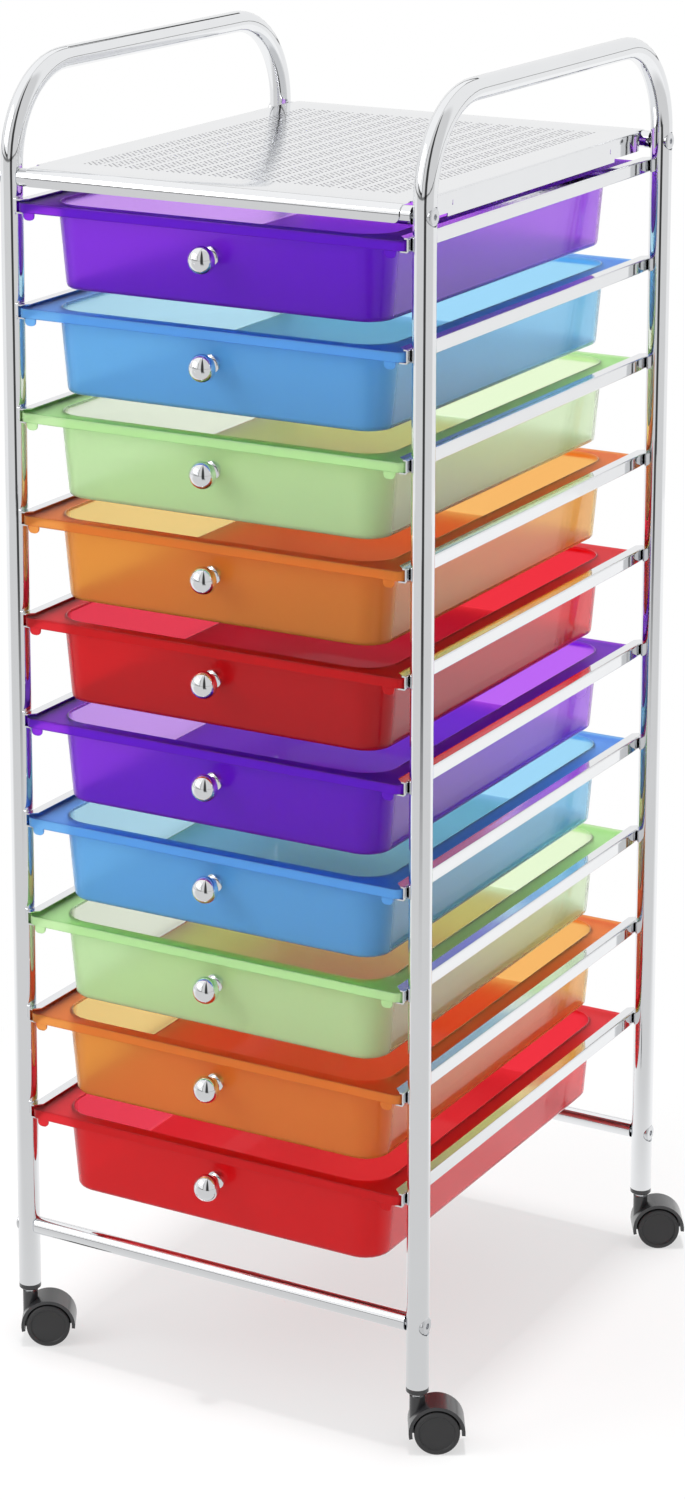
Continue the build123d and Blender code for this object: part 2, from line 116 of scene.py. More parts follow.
def surface(wire, sockets):
    """Add a surface shader with these sockets."""
    return wire.node("ShaderNodeBsdfPrincipled", {}, sockets)


def blend(wire, amount, first, second):
    """Mix two shaders by a 0 to 1 amount."""
    return wire.node("ShaderNodeMixShader", {}, {0: amount, 1: first, 2: second})


def show(wire, shader):
    """Join a shader to the material's output."""
    wire.node("ShaderNodeOutputMaterial", {}, {"Surface": shader})


def place_on(wire):
    """Object coordinates: metres in the cart's frame, so a pattern has a real size."""
    return wire.node("ShaderNodeTexCoord", output="Object")


def corner_share(wire, name):
    """A number that the corners of a mesh carry under this name; 0 where a mesh has none."""
    return wire.node("ShaderNodeAttribute", {"attribute_name": name}, output="Fac")


def cloud(wire, place, per_metre, detail):
    """Soft noise from 0 to 1, with this many lumps to the metre."""
    return wire.node("ShaderNodeTexNoise", {}, {"Vector": place, "Scale": per_metre, "Detail": detail})


def spread(wire, value, low, high):
    """Stretch a 0 to 1 value between low and high."""
    return wire.node("ShaderNodeMapRange", {"clamp": True}, {"Value": value, "To Min": low, "To Max": high})


def opaque(colour, level=1.0):
    """Red, green and blue times a level, with the fourth number that a colour socket takes."""
    return (*[level * part for part in colour], 1.0)


def tint(wire, amount, first, second):
    """Mix two colours by a 0 to 1 amount; each is four numbers or a wire."""
    return wire.node("ShaderNodeMix", {"data_type": "RGBA"}, {0: amount, 6: first, 7: second}, output=2)


def dent(wire, height, depth, strength=1.0):
    """A bump whose full height is depth metres."""
    return wire.node("ShaderNodeBump", {}, {"Height": height, "Distance": depth, "Strength": strength})


print("kit ready")

# %% [markdown]
# ## Chrome
#
# The tubes, rails, shelf and knobs are chromed steel. Chrome has next to no colour of its own: it is a
# mirror, and its looks come from what stands around it. A perfectly even mirror looks drawn, so the
# polish gets a faint haze in patches and the tube a slight waviness. A flat grey could not do this. Where
# the sheet is punched, the cut through the metal shows dull steel. A number on each corner of the mesh, its
# cut share, says where that is.

# %% Chromed steel
CHROME = (0.88, 0.89, 0.905)
ZINC = (0.74, 0.75, 0.77)
HAZY_LEVEL = 0.96
CUT_SHARE = "cut_share"
CUT_STEEL = (0.40, 0.405, 0.415)
CUT_DULL = 0.35


def chromed(name, colour, haze, wave):
    """A mirror finish; haze is its roughness in clean and in hazy patches, wave the ripple's height."""
    material, wire = new_finish(name)
    place = place_on(wire)
    patches = cloud(wire, place, per_metre=28.0, detail=3.0)
    ripple = cloud(wire, place, per_metre=90.0, detail=1.0)
    cut_share = corner_share(wire, CUT_SHARE)
    polish = tint(wire, patches, opaque(colour), opaque(colour, HAZY_LEVEL))
    show(wire, surface(wire, {
        "Base Color": tint(wire, cut_share, polish, opaque(CUT_STEEL)),
        "Roughness": spread(wire, patches, *haze) + CUT_DULL * cut_share,
        "Metallic": 1.0,
        "Normal": dent(wire, ripple, wave),
    }))
    return material


tube_chrome = chromed("tube_chrome", CHROME, haze=(0.03, 0.06), wave=0.00002)
sheet_chrome = chromed("sheet_chrome", CHROME, haze=(0.03, 0.08), wave=0.00003)
knob_chrome = chromed("knob_chrome", CHROME, haze=(0.02, 0.04), wave=0.0)
bolt_zinc = chromed("bolt_zinc", ZINC, haze=(0.12, 0.22), wave=0.00002)
print("chrome finishes:", [m.name for m in (tube_chrome, sheet_chrome, knob_chrome, bolt_zinc)])

# %% [markdown]
# ## Coloured drawers
#
# The drawers are moulded from tinted polypropylene, a little cloudy. One wall lets the white room through,
# two walls look deeper, three deeper still, so the tint has to sit in the light that passes and not on the
# surface. A painted shell would stay one colour everywhere. The end walls and the floor look deeper than
# the sides, and the front scatters some light as milk does. The flange is darker again, partly from light
# running along inside the plastic and partly as painted shade: it lies under the drawer above and mirrors
# its dark underside. So each corner of the drawer's mesh carries three numbers: its deep share, its rim
# and shade share and its milk share. The real plastic bends light more than is set here, but then the thin
# rounded edges trap light and turn black; a glossy coat gives the gloss back to the walls.

# %% Tinted plastic
DRAWER_SHARES = ("deep_share", "rim_and_shade_share", "milk_share")
PLASTIC_BEND = 1.25
FLOW_SHARE, FLOW_LEVEL = 0.06, 0.94
MOULD_GRAIN = 0.000004
WALL_CLOUDY = (0.22, 0.26)
DEEP_CLOUDY, RIM_CLOUDY = 0.12, 0.4
WALL_GLOSS, DEEP_MATT, MILK_GLOSS = 0.8, 0.85, 0.2
GLOSS_HAZE = 0.03


def tinted_plastic(name, pale, deep, rim, milk, milkiness):
    """Cloudy plastic that tints the light passing through it; the shares pick among its four colours."""
    material, wire = new_finish(name)
    place = place_on(wire)
    flow = cloud(wire, place, per_metre=14.0, detail=2.0)
    grain = dent(wire, cloud(wire, place, per_metre=900.0, detail=1.0), MOULD_GRAIN)
    deep_share, rim_and_shade_share, milk_share = [corner_share(wire, share) for share in DRAWER_SHARES]
    depth = (1.0 - FLOW_SHARE) * deep_share + FLOW_SHARE * flow
    cloudy = spread(wire, flow, *WALL_CLOUDY)
    # The rim colour, mixed in by the rim and shade share, is partly painted shade: the flange lies under
    # the drawer above.
    clear = surface(wire, {
        "Base Color": tint(wire, rim_and_shade_share, tint(wire, depth, opaque(pale), opaque(deep)), opaque(rim)),
        "Roughness": cloudy + DEEP_CLOUDY * deep_share + RIM_CLOUDY * rim_and_shade_share,
        "Transmission Weight": 1.0,
        "IOR": PLASTIC_BEND,
        "Coat Weight": WALL_GLOSS * (1.0 - rim_and_shade_share) * (1.0 - DEEP_MATT * deep_share),
        "Coat Roughness": GLOSS_HAZE,
        "Normal": grain,
    })
    milky = surface(wire, {
        "Base Color": tint(wire, flow, opaque(milk), opaque(milk, FLOW_LEVEL)),
        "Roughness": cloudy,
        "IOR": PLASTIC_BEND,
        "Coat Weight": MILK_GLOSS,
        "Coat Roughness": GLOSS_HAZE,
        "Normal": grain,
    })
    show(wire, blend(wire, milkiness * milk_share, clear, milky))
    return material


# Each rim colour is a darker tint that is partly painted shade, for the flange under the drawer above.
TINTS = {
    "purple_plastic": {
        "pale": (0.75, 0.50, 0.98), "deep": (0.48, 0.05, 0.95), "rim": (0.085, 0.01, 0.35),
        "milk": (0.23, 0.005, 0.90), "milkiness": 0.28},
    "blue_plastic": {
        "pale": (0.62, 0.91, 1.0), "deep": (0.30, 0.68, 0.99), "rim": (0.08, 0.22, 0.90),
        "milk": (0.175, 0.53, 1.0), "milkiness": 0.45},
    "green_plastic": {
        "pale": (0.96, 1.0, 0.93), "deep": (0.82, 1.0, 0.63), "rim": (0.33, 0.80, 0.25),
        "milk": (0.69, 1.0, 0.53), "milkiness": 0.45},
    "orange_plastic": {
        "pale": (1.0, 0.86, 0.36), "deep": (0.97, 0.42, 0.10), "rim": (0.85, 0.17, 0.045),
        "milk": (1.0, 0.42, 0.07), "milkiness": 0.28},
    "red_plastic": {
        "pale": (0.97, 0.08, 0.14), "deep": (0.90, 0.025, 0.035), "rim": (0.80, 0.05, 0.07),
        "milk": (0.80, 0.010, 0.018), "milkiness": 0.28},
}
plastics = {slot: tinted_plastic(slot, **tints) for slot, tints in TINTS.items()}
print("plastics:", list(plastics))

# %% [markdown]
# ## Caster plastics
#
# The hoods are black nylon with a fine moulded grain that catches a soft grey sheen. The wheels are a
# little greyer and duller, as if dusted from rolling. Plain black would hide their shape.

# %% Grained nylon
NYLON_GRAIN, GRAIN_STRENGTH = 0.00004, 0.5
WORN_LEVEL = 1.5
SHEEN_HAZE = 0.2


def grained_nylon(name, colour, dull, gloss):
    """Dark moulded plastic; dull is its roughness where worn smooth and where grained, gloss its coat."""
    material, wire = new_finish(name)
    place = place_on(wire)
    grain = cloud(wire, place, per_metre=1500.0, detail=2.0)
    worn = cloud(wire, place, per_metre=60.0, detail=3.0)
    show(wire, surface(wire, {
        "Base Color": tint(wire, worn, opaque(colour), opaque(colour, WORN_LEVEL)),
        "Roughness": spread(wire, worn, *dull),
        "Coat Weight": gloss,
        "Coat Roughness": SHEEN_HAZE,
        "Normal": dent(wire, grain, NYLON_GRAIN, GRAIN_STRENGTH),
    }))
    return material


hood_nylon = grained_nylon("hood_nylon", (0.016, 0.016, 0.018), dull=(0.28, 0.4), gloss=0.7)
wheel_nylon = grained_nylon("wheel_nylon", (0.024, 0.024, 0.025), dull=(0.45, 0.6), gloss=0.0)
print("nylons:", hood_nylon.name, wheel_nylon.name)

# %% [markdown]
# ## Dressing the built pieces
#
# Each built piece keeps its shape and takes a finish in its material slots. The record names the slot of
# every piece, but a tube, a sheet and a knob are polished differently, so the finish follows the piece.


# %% A finish for every built piece
def drawer_slot(number):
    """The colours repeat from the top drawer down."""
    return list(TINTS)[(number - 1) % len(TINTS)]


def finish_for(name):
    """The finish that a built piece takes, by its name."""
    if name.startswith("drawer_"):
        return plastics[drawer_slot(int(name[-2:]))]
    if name.startswith("knob_screw") or name.endswith(("_axle", "_stem")) or name == "frame_bolts":
        return bolt_zinc
    if name.startswith("knob_"):
        return knob_chrome
    if name.endswith("_hood") or name == "caster_sockets":
        return hood_nylon
    if name.endswith("_wheel"):
        return wheel_nylon
    if name.endswith("_rails") or name == "top_shelf":
        return sheet_chrome
    return tube_chrome


for name, piece in nodes.items():
    for holder in piece.material_slots:
        holder.material = finish_for(name)
print("finished pieces:", len(nodes))

# %% [markdown]
# ## From a mesh in the making to a piece of the cart
#
# Every new piece ends the same way: its mesh becomes an object at the origin, takes its finish, shades
# smoothly except at true edges, moves with one body and stands in for the built piece it improves on.

# %% Hanging a new piece on the cart
SHARP_DEGREES = 35.0


def to_mesh(work, name):
    """Turn a finished bmesh into mesh data."""
    data = bpy.data.meshes.new(name)
    work.to_mesh(data)
    work.free()
    return data


def add_piece(name, mesh, finish, body, replaced):
    """Make the mesh a piece that rides on body, takes the given finish and hides the replaced node."""
    for polygon in mesh.polygons:
        polygon.use_smooth = True
    mesh.set_sharp_from_angle(angle=radians(SHARP_DEGREES))
    mesh.materials.append(finish)
    piece = bpy.data.objects.new(name, mesh)
    bpy.context.scene.collection.objects.link(piece)
    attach(piece, body)
    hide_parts(replaced)
    return piece


print("sharp edges above:", SHARP_DEGREES, "degrees")

# %% [markdown]
# ## A moulded drawer
#
# A moulded tray has one wall thickness everywhere and no sharp edge anywhere, because plastic flows badly
# round sharp corners and the tray must leave its mould. A box with a bevel modifier would round all edges
# alike. Here the wall's section is written down instead, from the inner floor up over the rim and down
# the outside, one rounded loop for each point, and neighbouring loops are bridged. Bridging tells which
# way round two loops run from the way between them, so flat steps fall by a twentieth of a millimetre.
# A hair, a hundredth of a millimetre, is the slack when faces and edges are sorted by their place.

# %% The drawer's own sizes, in metres
WALL = 0.0022
RIM_SIDE, RIM_FRONT, RIM_REAR = 0.0185, 0.0075, 0.010
RIM_CORNER, TRAY_CORNER = 0.006, 0.025
SKIRT = 0.0073
DRAFT = radians(4.9)
FLOOR_ROUND = 0.0013
EDGE_ROUND = 0.0009
CORNER_STEPS = 6
ARC_STEPS = 4
HAIR = 0.00001
FALL = 0.00005

drawer_low, drawer_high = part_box("drawer_01")
rim_low = Vector((drawer_low.x, drawer_low.y))
rim_high = Vector((drawer_high.x, drawer_high.y))
tray_low = rim_low + Vector((RIM_SIDE, RIM_FRONT))
tray_high = rim_high - Vector((RIM_SIDE, RIM_REAR))
tray_depth = drawer_high.z - drawer_low.z
print("tray, metres:", [round(v, 4) for v in (*(tray_high - tray_low), tray_depth)])


# %% The wall's section, as distances inward and heights below the rim
def arc(inward, height, radius, start, end):
    """Points of the section on an arc about (inward, height); angles in radians, 0 points outward."""
    angles = [start + (end - start) * step / ARC_STEPS for step in range(ARC_STEPS + 1)]
    return [(inward - radius * cos(a), height + radius * sin(a)) for a in angles]


floor_arc = WALL + FLOOR_ROUND
arc_height = floor_arc - tray_depth
arc_inward = -arc_height * tan(DRAFT) + floor_arc / cos(DRAFT)
inner_face = WALL / cos(DRAFT)
foot_round = EDGE_ROUND / 2.0
tray_inside = arc(arc_inward, arc_height, FLOOR_ROUND, -pi / 2.0, -DRAFT)
tray_inside += arc(inner_face - EDGE_ROUND, -EDGE_ROUND, EDGE_ROUND, pi, pi / 2.0)
rim_outside = arc(EDGE_ROUND, -EDGE_ROUND - FALL, EDGE_ROUND, pi / 2.0, 0.0)
rim_outside += arc(foot_round, foot_round - SKIRT, foot_round, 0.0, -pi / 2.0)
rim_outside += [(WALL - foot_round, FALL - SKIRT), (WALL, foot_round - SKIRT), (WALL, -WALL)]
tray_outside = [(WALL * tan(DRAFT), -WALL - FALL)]
tray_outside += arc(arc_inward, arc_height, floor_arc, -DRAFT, -pi / 2.0)
print("points in the wall's section:", len(tray_inside + rim_outside + tray_outside))


# %% The shell: loops along the section, bridged in turn
def rounded_loop(work, low, high, corner, height, capped):
    """The edges of a flat rectangle with rounded corners; a capped loop keeps its face."""
    before = set(work.faces)
    verts = bmesh.ops.create_grid(work, x_segments=1, y_segments=1, size=0.5)["verts"]
    bmesh.ops.scale(work, vec=(*(high - low), 1.0), verts=verts)
    bmesh.ops.translate(work, vec=(*(high + low) / 2.0, height), verts=verts)
    bmesh.ops.bevel(work, geom=verts, offset=corner, offset_type="OFFSET", affect="VERTICES",
                    segments=CORNER_STEPS, profile=0.5, material=-1)
    face = (set(work.faces) - before).pop()
    edges = face.edges[:]
    if not capped:
        bmesh.ops.delete(work, geom=[face], context="FACES_ONLY")
    return edges


def section_loops(work, section, low, high, corner, capped):
    """One loop for each point of the section, drawn in from an outline; capped is the index of a lid."""
    loops = []
    for index, (inward, height) in enumerate(section):
        inset = Vector((inward, inward))
        lid = index == capped
        loops.append(rounded_loop(work, low + inset, high - inset, corner - inward, height, lid))
    return loops


shell = bmesh.new()
loops = section_loops(shell, tray_inside, tray_low, tray_high, TRAY_CORNER, 0)
loops += section_loops(shell, rim_outside, rim_low, rim_high, RIM_CORNER, None)
loops += section_loops(shell, tray_outside, tray_low, tray_high, TRAY_CORNER, len(tray_outside) - 1)
for lower, upper in zip(loops, loops[1:]):
    bmesh.ops.bridge_loops(shell, edges=lower + upper)
bmesh.ops.recalc_face_normals(shell, faces=shell.faces)
print("shell faces:", len(shell.faces))

# %% [markdown]
# ### Stop tabs and the screw's bore
#
# Two small tabs hang from the front of the rim and meet the rail ends, so the drawer stops where it
# should. The knob's screw needs a real bore through the front wall. Booleans could cut both, but they
# leave untidy faces on thin walls. Splitting the wall along planes, then extruding or bridging the split
# faces, keeps the shell clean.

# %% Two stop tabs
TAB_WIDTH, TAB_DROP, TAB_ROUND = 0.0085, 0.005, 0.003
TAB_STEPS = 3
CUT_SLACK = HAIR / 10.0


def only(kind, items):
    """The items of one kind among those that an operator returns."""
    return [item for item in items if isinstance(item, kind)]


def split(work, faces, point, normal):
    """Cut these faces along a plane; returns them with the faces that the cut made."""
    edges = {edge for face in faces for edge in face.edges}
    verts = {vert for face in faces for vert in face.verts}
    made = bmesh.ops.bisect_plane(work, geom=[*faces, *edges, *verts], dist=CUT_SLACK,
                                  plane_co=point, plane_no=normal)
    return only(BMFace, made["geom"])


def nearest_face(faces, point):
    """The face whose middle lies nearest to a point."""
    return min(faces, key=lambda face: (face.calc_center_median() - point).length)


middle_x = (rim_low.x + rim_high.x) / 2.0
tab_reach = rim_high.x - middle_x - RIM_CORNER
for side in (-1.0, 1.0):
    skirt = [face for face in shell.faces if face.calc_center_median().y < rim_low.y + WALL + HAIR]
    for reach in (tab_reach, tab_reach - TAB_WIDTH):
        skirt = split(shell, skirt, (middle_x + side * reach, 0.0, 0.0), (1.0, 0.0, 0.0))
    tab_middle = middle_x + side * (tab_reach - TAB_WIDTH / 2.0)
    seat = nearest_face(skirt, Vector((tab_middle, rim_low.y + WALL / 2.0, -SKIRT)))
    tab = bmesh.ops.extrude_face_region(shell, geom=[seat])["geom"]
    bmesh.ops.delete(shell, geom=[seat], context="FACES_ONLY")
    bmesh.ops.translate(shell, vec=(0.0, 0.0, -TAB_DROP), verts=only(BMVert, tab))
    ends = [edge for edge in only(BMEdge, tab)
            if abs(edge.verts[0].co.x - edge.verts[1].co.x) < HAIR]
    bmesh.ops.bevel(shell, geom=ends, offset=TAB_ROUND, offset_type="OFFSET", affect="EDGES",
                    segments=TAB_STEPS, profile=0.5, material=-1)
print("shell faces with tabs:", len(shell.faces))

# %% The screw's bore
BORE_RADIUS = 0.00225
BORE_STEPS = 16
BORE_LEAD = 0.0003
BORE_FRAME = 1.6
KNOB_DROP = 0.025
SAME_WAY, WALL_SLACK = 0.999, 5.0 * HAIR

outward = Vector((0.0, -cos(DRAFT), -sin(DRAFT)))
upward = Vector((0.0, -sin(DRAFT), cos(DRAFT)))
across = Vector((1.0, 0.0, 0.0))
facing = outward.to_track_quat("Z", "Y").to_matrix().to_4x4()
knob_seat = Vector((middle_x, tray_low.y + KNOB_DROP * tan(DRAFT), -KNOB_DROP))
rings = []
for depth, lead in ((0.0, BORE_LEAD), (WALL, -BORE_LEAD)):
    centre = knob_seat - depth * outward
    wall = [face for face in shell.faces
            if abs(face.normal.dot(outward)) > SAME_WAY
            and abs((face.calc_center_median() - centre).dot(outward)) < WALL_SLACK]
    for way in (across, upward):
        for side in (-1.0, 1.0):
            wall = split(shell, wall, centre + side * BORE_FRAME * BORE_RADIUS * way, way)
        wall = [face for face in wall if abs((face.calc_center_median() - centre).dot(way)) < BORE_RADIUS]
    square = nearest_face(wall, centre)
    square_edges = square.edges[:]
    bmesh.ops.delete(shell, geom=[square], context="FACES_ONLY")
    ring = bmesh.ops.create_circle(shell, segments=BORE_STEPS, radius=BORE_RADIUS,
                                   matrix=Matrix.Translation(centre - lead * outward) @ facing)["verts"]
    rings.append(list({edge for vert in ring for edge in vert.link_edges}))
    bmesh.ops.bridge_loops(shell, edges=square_edges + rings[-1])
bmesh.ops.bridge_loops(shell, edges=rings[0] + rings[1])
bmesh.ops.recalc_face_normals(shell, faces=shell.faces)
loose = [edge for edge in shell.edges if not edge.is_contiguous]
print("shell faces:", len(shell.faces), "loose edges:", len(loose))
print("plastic in one drawer, cubic centimetres:", round(shell.calc_volume() * 1e6, 1))

# %% [markdown]
# ### Where the plastic looks deep
#
# In the real tray the tint depends on how far light runs inside the plastic. The thin walls are built, but
# the long ways along the flange and the floor are not worth tracing. The rim colour is partly painted shade
# as well: most on the flange, which lies under the drawer above and mirrors its dark underside, and a
# little on the floor and the skirt. So the three shares are written on the corners of the mesh, where a
# finish reads them. Separate materials would leave a hard line between two tints; shares fade from the
# front wall to the side wall round the corner.

# %% The three shares at every corner of the mesh
FLAT, STEEP = 0.9, 0.5
END_DEPTH = 0.8
# How much of the rim colour, which is partly painted shade, the floor, the skirt and the flange take.
FLOOR_RIM_SHARE, SKIRT_RIM_SHARE, FLANGE_RIM_SHARE = 0.2, 0.2, 0.55
end_wall = tray_depth * tan(DRAFT) + WALL


def nearness(distance):
    """1 in an end wall, falling to 0 where its rounded corner meets the side wall."""
    return min(max(1.0 - (distance - end_wall) / (TRAY_CORNER - WALL), 0.0), 1.0)


for share in DRAWER_SHARES:
    shell.loops.layers.float.new(share)
layers = [shell.loops.layers.float[share] for share in DRAWER_SHARES]
for face in shell.faces:
    spot = face.calc_center_median()
    inward = min(spot.x - tray_low.x, tray_high.x - spot.x, spot.y - tray_low.y, tray_high.y - spot.y)
    on_floor = abs(face.normal.z) > FLAT and spot.z < -SKIRT - TAB_DROP
    on_rim = inward < 0.0
    on_skirt = on_rim and abs(face.normal.z) < STEEP
    for loop in face.loops:
        front, rear = nearness(loop.vert.co.y - tray_low.y), nearness(tray_high.y - loop.vert.co.y)
        if on_floor:
            shares = (1.0, FLOOR_RIM_SHARE, 0.0)
        elif on_skirt:
            shares = (1.0, SKIRT_RIM_SHARE, front)
        # The flange takes the most painted shade, as it lies under the drawer above.
        elif on_rim:
            shares = (1.0, FLANGE_RIM_SHARE, 0.0)
        else:
            shares = (END_DEPTH * max(front, rear), 0.0, front)
        for layer, share in zip(layers, shares):
            loop[layer] = share
print("corners with shares:", sum(len(face.loops) for face in shell.faces))

# %% Ten drawers from one shell
DRAWERS = 10
shell_mesh = to_mesh(shell, "drawer_shell")
for number in range(1, DRAWERS + 1):
    node = f"drawer_{number:02d}"
    slot_name = drawer_slot(number)
    mesh = shell_mesh.copy()
    mesh.transform(Matrix.Translation((0.0, 0.0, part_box(node)[1].z)))
    tray = add_piece(f"moulded_{node}", mesh, plastics[slot_name], f"{node}_body", node)
    even = tray.modifiers.new("even_shading", "WEIGHTED_NORMAL")
    even.keep_sharp = True
bpy.data.meshes.remove(shell_mesh)
print("drawers made:", DRAWERS)

# %% [markdown]
# ## The perforated shelf
#
# The shelf is one chromed sheet: a field of fine holes punched in small groups, a plain border, edges
# rolled over the two cross bars and flanges folded down at the sides. A bump or a see-through pattern
# would fool the eye only from afar, so the holes are real. One group of thirteen holes is punched, copied
# across and along, welded, and then the border is pulled out of the field's outline, rolled and folded.

# %% One group of holes
HOLE_STEP = Vector((0.0025, 0.00245))
GROUP_CELLS = 5
GROUP_GAP = Vector((0.0043, 0.00245))
GROUPS_ACROSS, GROUPS_ALONG = 15, 21
HOLE_RADIUS = 0.0009
HOLE_SIDES = 6


def pull(work, edges, offset):
    """Extrude edges by an offset and return the edges that moved."""
    moved = set(only(BMVert, bmesh.ops.extrude_edge_only(work, edges=edges)["geom"]))
    bmesh.ops.translate(work, vec=offset, verts=list(moved))
    return list({edge for vert in moved for edge in vert.link_edges if moved.issuperset(edge.verts)})


def edges_where(work, test):
    """The border edges whose two ends both pass a test."""
    return [edge for edge in work.edges if edge.is_boundary and all(test(vert.co) for vert in edge.verts)]


sheet = bmesh.new()
group_size = GROUP_CELLS * HOLE_STEP
bmesh.ops.create_grid(sheet, x_segments=GROUP_CELLS, y_segments=GROUP_CELLS, size=0.5)
bmesh.ops.scale(sheet, vec=(*group_size, 1.0), verts=sheet.verts)
bmesh.ops.translate(sheet, vec=(*group_size / 2.0, 0.0), verts=sheet.verts)
for cell in list(sheet.faces):
    centre = cell.calc_center_median()
    if (int(centre.x / HOLE_STEP.x) + int(centre.y / HOLE_STEP.y)) % 2 == 0:
        around = cell.edges[:]
        bmesh.ops.delete(sheet, geom=[cell], context="FACES_ONLY")
        sunk = centre - Vector((0.0, 0.0, FALL))
        hole = bmesh.ops.create_circle(sheet, segments=HOLE_SIDES, radius=HOLE_RADIUS,
                                       matrix=Matrix.Translation(sunk))["verts"]
        rim = list({edge for vert in hole for edge in vert.link_edges})
        bmesh.ops.bridge_loops(sheet, edges=around + rim)
right_edges = edges_where(sheet, lambda co: co.x > group_size.x - HAIR)
pull(sheet, right_edges, (GROUP_GAP.x, 0.0, 0.0))
rear_edges = edges_where(sheet, lambda co: co.y > group_size.y - HAIR)
pull(sheet, rear_edges, (0.0, GROUP_GAP.y, 0.0))
print("faces in one group:", len(sheet.faces))

# %% Copies of the group, welded into the field
pitch = group_size + GROUP_GAP
for step, count in (((pitch.x, 0.0, 0.0), GROUPS_ACROSS), ((0.0, pitch.y, 0.0), GROUPS_ALONG)):
    group = [*sheet.verts, *sheet.edges, *sheet.faces]
    for index in range(1, count):
        copy = bmesh.ops.duplicate(sheet, geom=group)["geom"]
        bmesh.ops.translate(sheet, vec=index * Vector(step), verts=only(BMVert, copy))
field = Vector((GROUPS_ACROSS * pitch.x, GROUPS_ALONG * pitch.y)) - GROUP_GAP
spare = [face for face in sheet.faces
         if face.calc_center_median().x > field.x or face.calc_center_median().y > field.y]
bmesh.ops.delete(sheet, geom=spare, context="FACES")
bmesh.ops.remove_doubles(sheet, verts=sheet.verts, dist=HAIR)
bmesh.ops.translate(sheet, vec=(*-field / 2.0, 0.0), verts=sheet.verts)
half_field = field / 2.0
print("holes:", GROUPS_ACROSS * GROUPS_ALONG * (GROUP_CELLS ** 2 + 1) // 2, "field, metres:", field[:])

# %% The plain border, the rolled edges and the folded flanges
ROLL_RADIUS, ROLL_STEPS = 0.00725, 8
ROLL_SETBACK = 0.0035
FLANGE_SETBACK = 0.013
LIP_DROP = 0.005
FOLD_RADIUS, FOLD_STEPS = 0.001, 3
FLANGE_DROP = 0.0168
RELIEF_DEPTH = 0.0025
SLIT_TOP, SLIT_FOOT = 0.0065, 0.0099

shelf_low, shelf_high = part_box("top_shelf")
half_x = (shelf_high.x - shelf_low.x) / 2.0
bar_y = (shelf_high.y - shelf_low.y) / 2.0 - ROLL_RADIUS
border = Vector((half_x - ROLL_SETBACK, bar_y - FLANGE_SETBACK))
outline = edges_where(sheet, lambda co: abs(co.x) > half_field.x - HAIR or abs(co.y) > half_field.y - HAIR)
border_verts = only(BMVert, bmesh.ops.extrude_edge_only(sheet, edges=outline)["geom"])
bmesh.ops.scale(sheet, vec=(border.x / half_field.x, border.y / half_field.y, 1.0), verts=border_verts)

for end in (-1.0, 1.0):
    edges = edges_where(sheet, lambda co: end * co.y > border.y - HAIR)
    edges = pull(sheet, edges, (0.0, end * FLANGE_SETBACK, 0.0))
    rolled = bmesh.ops.spin(sheet, geom=edges, cent=(0.0, end * bar_y, -ROLL_RADIUS), axis=(1.0, 0.0, 0.0),
                            angle=-end * pi / 2.0, steps=ROLL_STEPS)["geom_last"]
    pull(sheet, only(BMEdge, rolled), (0.0, 0.0, -LIP_DROP))
for side in (-1.0, 1.0):
    edges = edges_where(sheet, lambda co: side * co.x > border.x - HAIR and abs(co.y) < border.y + HAIR)
    edges = pull(sheet, edges, (side * (half_x - FOLD_RADIUS - border.x), 0.0, 0.0))
    folded = bmesh.ops.spin(sheet, geom=edges, cent=(side * (half_x - FOLD_RADIUS), 0.0, -FOLD_RADIUS),
                            axis=(0.0, 1.0, 0.0), angle=side * pi / 2.0, steps=FOLD_STEPS)["geom_last"]
    edges = only(BMEdge, folded)
    drops = (FOLD_RADIUS, SLIT_TOP, SLIT_FOOT, FLANGE_DROP - RELIEF_DEPTH)
    for upper, lower in zip(drops, drops[1:]):
        edges = pull(sheet, edges, (0.0, 0.0, upper - lower))
print("sheet, metres:", [round(max(v.co[i] for v in sheet.verts) * 2.0, 4) for i in (0, 1)])

# %% Slits and reliefs in the flanges
SLIT_PLACE, SLIT_WIDTH = 0.123, 0.0012
RELIEF_LENGTH = 0.042

flange = [face for face in sheet.faces if abs(face.calc_center_median().x) > half_x - HAIR]
relief_y = border.y - RELIEF_LENGTH
for end in (-1.0, 1.0):
    for cut_y in (SLIT_PLACE - SLIT_WIDTH / 2.0, SLIT_PLACE + SLIT_WIDTH / 2.0, relief_y):
        flange = split(sheet, flange, (0.0, end * cut_y, 0.0), (0.0, 1.0, 0.0))
slits = [face for face in flange
         if abs(abs(face.calc_center_median().y) - SLIT_PLACE) < SLIT_WIDTH / 2.0
         and SLIT_TOP < -face.calc_center_median().z < SLIT_FOOT]
bmesh.ops.delete(sheet, geom=slits, context="FACES")
relief_z = RELIEF_DEPTH - FLANGE_DROP
hem = edges_where(sheet, lambda co: abs(co.z - relief_z) < HAIR and abs(co.y) < relief_y + HAIR)
pull(sheet, hem, (0.0, 0.0, -RELIEF_DEPTH))
print("slits:", len(slits))

# %% Rounded corners on the lips
LIP_CORNER = 0.004
LIP_CUTS = (1.0, 0.5, 0.125)

lip_y, lip_z = bar_y + ROLL_RADIUS, -ROLL_RADIUS - LIP_DROP
for side in (-1.0, 1.0):
    for cut in LIP_CUTS:
        lips = [face for face in sheet.faces if abs(face.calc_center_median().y) > lip_y - HAIR]
        split(sheet, lips, (side * (border.x - cut * LIP_CORNER), 0.0, 0.0), (1.0, 0.0, 0.0))
for vert in sheet.verts:
    past = abs(vert.co.x) - (border.x - LIP_CORNER)
    if vert.co.z < lip_z + HAIR and past > 0.0 and abs(vert.co.y) > bar_y:
        vert.co.z += LIP_CORNER - (max(LIP_CORNER ** 2 - past ** 2, 0.0)) ** 0.5
print("sheet faces:", len(sheet.faces))

# %% Thickness, cut edges, and the finished shelf
SHEET = 0.0008

